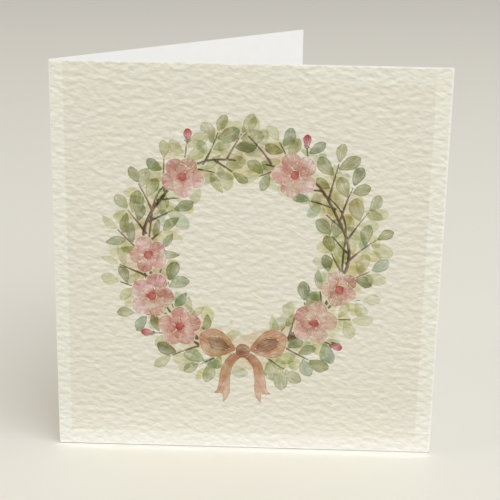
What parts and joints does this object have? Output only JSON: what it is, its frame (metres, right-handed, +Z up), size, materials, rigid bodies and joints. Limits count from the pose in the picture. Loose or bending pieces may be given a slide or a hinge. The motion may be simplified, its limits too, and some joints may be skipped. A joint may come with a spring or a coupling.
{
  "type": "greeting card",
  "caption": "Almost square folded greeting card of stiff uncoated board, standing ajar on its bottom edges with its fold upright.",
  "frame": {"origin": "on the table, under the middle of the standing card's outline", "axes": "+Z up along the fold; the front leaf lies along X with its printed face to -Y and the fold at -X; the back leaf stands open behind it, 50 degrees round +Z"},
  "size_m": [0.145, 0.1116, 0.15],
  "materials": {
    "cream_printed_board": "matte",
    "creased_board": "matte",
    "white_board": "matte"
  },
  "bodies": {
    "front": {"front_leaf": "cream_printed_board", "crease": "creased_board"},
    "back": {"back_leaf": "white_board"}
  },
  "joints": [
    {"name": "card_fold", "type": "hinge", "parent": "front", "child": "back", "pos_m": [-0.072, -0.05526, 0], "axis": [0, 0, 1], "range_deg": [-50, 130], "stiffness_Nm_per_rad": 0.02}
  ]
}
